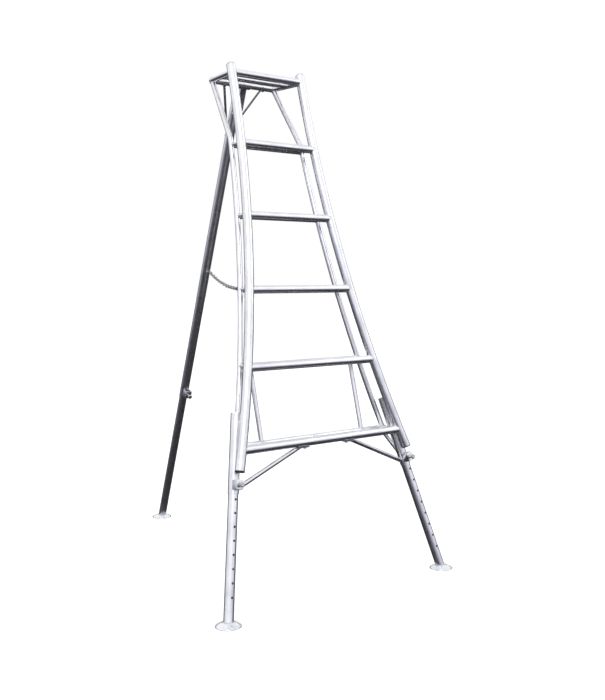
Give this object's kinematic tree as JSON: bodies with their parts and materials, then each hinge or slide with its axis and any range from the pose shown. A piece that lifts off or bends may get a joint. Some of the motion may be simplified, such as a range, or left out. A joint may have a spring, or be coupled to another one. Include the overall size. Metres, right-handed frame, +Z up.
{
  "type": "orchard tripod ladder",
  "caption": "Orchard tripod ladder: bowed tube stiles, double-tube treads, a small top frame, telescopic front legs, and a folding telescopic rear leg held by a chain.",
  "frame": {"origin": "on the ground, on the middle plane, halfway between the front feet and the rear foot, at the centre of the bounding box's underside", "axes": "+Z up; +X to the climber's right when facing the treads; +Y from the treads towards the rear leg"},
  "size_m": [1.18, 1.592, 2.141],
  "materials": {
    "frame_aluminium": "bare extruded aluminium, satin, lightly scuffed",
    "leg_tube": "bare extruded aluminium, satin, scuffed by sliding",
    "foot_plate": "pressed aluminium dish, bright",
    "plated_steel": "zinc-plated steel",
    "chain_steel": "zinc-plated welded wire",
    "black_cap": "matt moulded plastic"
  },
  "bodies": {
    "frame": {"left_stile": "frame_aluminium", "left_rear_stile": "frame_aluminium", "left_strut": "frame_aluminium", "left_top_side_bar": "frame_aluminium", "left_leg_sleeve": "frame_aluminium", "left_long_brace": "frame_aluminium", "left_short_brace": "frame_aluminium", "left_lock_bracket": "leg_tube", "left_lock_spring": "plated_steel", "right_stile": "frame_aluminium", "right_rear_stile": "frame_aluminium", "right_strut": "frame_aluminium", "right_top_side_bar": "frame_aluminium", "right_leg_sleeve": "frame_aluminium", "right_long_brace": "frame_aluminium", "right_short_brace": "frame_aluminium", "right_lock_bracket": "leg_tube", "right_lock_spring": "plated_steel", "stile_caps": "black_cap", "stile_end_plugs": "black_cap", "tread_1_front_tube": "frame_aluminium", "tread_1_rear_tube": "frame_aluminium", "tread_2_front_tube": "frame_aluminium", "tread_2_rear_tube": "frame_aluminium", "tread_3_front_tube": "frame_aluminium", "tread_3_rear_tube": "frame_aluminium", "tread_4_front_tube": "frame_aluminium", "tread_4_rear_tube": "frame_aluminium", "tread_5_front_tube": "frame_aluminium", "tread_5_rear_tube": "frame_aluminium", "tread_cross_links": "frame_aluminium", "side_links": "frame_aluminium", "top_front_bar": "frame_aluminium", "top_mid_bar": "frame_aluminium", "top_rear_bar": "frame_aluminium", "sleeve_lugs": "frame_aluminium", "brace_bolts": "plated_steel", "chain_anchor": "chain_steel"},
    "left_leg": {"left_leg_tube": "leg_tube", "left_foot": "foot_plate"},
    "right_leg": {"right_leg_tube": "leg_tube", "right_foot": "foot_plate"},
    "rear_leg": {"rear_leg_hinge_sleeve": "frame_aluminium", "rear_leg_upper_tube": "leg_tube", "left_strap": "leg_tube", "right_strap": "leg_tube", "strap_bolt": "plated_steel", "chain_eye": "chain_steel", "rear_lock_bracket": "leg_tube", "rear_lock_spring": "plated_steel"},
    "rear_leg_lower": {"rear_leg_lower_tube": "leg_tube", "rear_foot": "foot_plate"},
    "left_lock": {"left_lock_pin": "plated_steel"},
    "right_lock": {"right_lock_pin": "plated_steel"},
    "rear_lock": {"rear_lock_pin": "plated_steel"},
    "chain_first": {"chain_leg_end": "chain_steel"},
    "chain_second": {"chain_middle": "chain_steel"},
    "chain_third": {"chain_ladder_end": "chain_steel"}
  },
  "joints": [
    {"name": "left_leg_slide", "type": "slide", "parent": "frame", "child": "left_leg", "axis": [-0.2132, -0.2487, -0.9448], "range_m": [-0.35, 0]},
    {"name": "left_lock_draw", "type": "slide", "parent": "frame", "child": "left_lock", "axis": [0, -0.967, 0.2546], "range_m": [-0.01, 0], "deforming": ["left_lock_spring"]},
    {"name": "right_leg_slide", "type": "slide", "parent": "frame", "child": "right_leg", "axis": [0.2132, -0.2487, -0.9448], "range_m": [-0.35, 0]},
    {"name": "right_lock_draw", "type": "slide", "parent": "frame", "child": "right_lock", "axis": [0, -0.967, 0.2546], "range_m": [-0.01, 0], "deforming": ["right_lock_spring"]},
    {"name": "rear_leg_fold", "type": "hinge", "parent": "frame", "child": "rear_leg", "pos_m": [0, -0.052, 2.1], "axis": [-1, 0, 0], "range_deg": [0, 37]},
    {"name": "rear_leg_slide", "type": "slide", "parent": "rear_leg", "child": "rear_leg_lower", "axis": [0, 0.3406, -0.9402], "range_m": [-0.4, 0]},
    {"name": "rear_lock_draw", "type": "slide", "parent": "rear_leg", "child": "rear_lock", "axis": [0, -0.9402, -0.3406], "range_m": [-0.01, 0], "deforming": ["rear_lock_spring"]},
    {"name": "chain_first_hang", "type": "hinge", "parent": "rear_leg", "child": "chain_first", "pos_m": [0, 0.24822, 1.27705], "axis": [1, 0, 0], "range_deg": [0, 99]},
    {"name": "chain_second_hang", "type": "hinge", "parent": "chain_first", "child": "chain_second", "pos_m": [-0.08886, 0.02638, 1.23628], "axis": [0.9144, -0.3877, 0.1167], "range_deg": [-2.4, 0]},
    {"name": "chain_third_hang", "type": "hinge", "parent": "chain_second", "child": "chain_third", "pos_m": [-0.16866, -0.17284, 1.21232], "axis": [0.1814, -0.1887, 0.9651], "range_deg": [-151.5, 0]}
  ],
  "couplings": [
    {"joint": "chain_first_hang", "follows": "rear_leg_fold", "ratio": 2.6612},
    {"joint": "chain_second_hang", "follows": "rear_leg_fold", "ratio": -0.0511},
    {"joint": "chain_third_hang", "follows": "rear_leg_fold", "ratio": -4.0809}
  ]
}
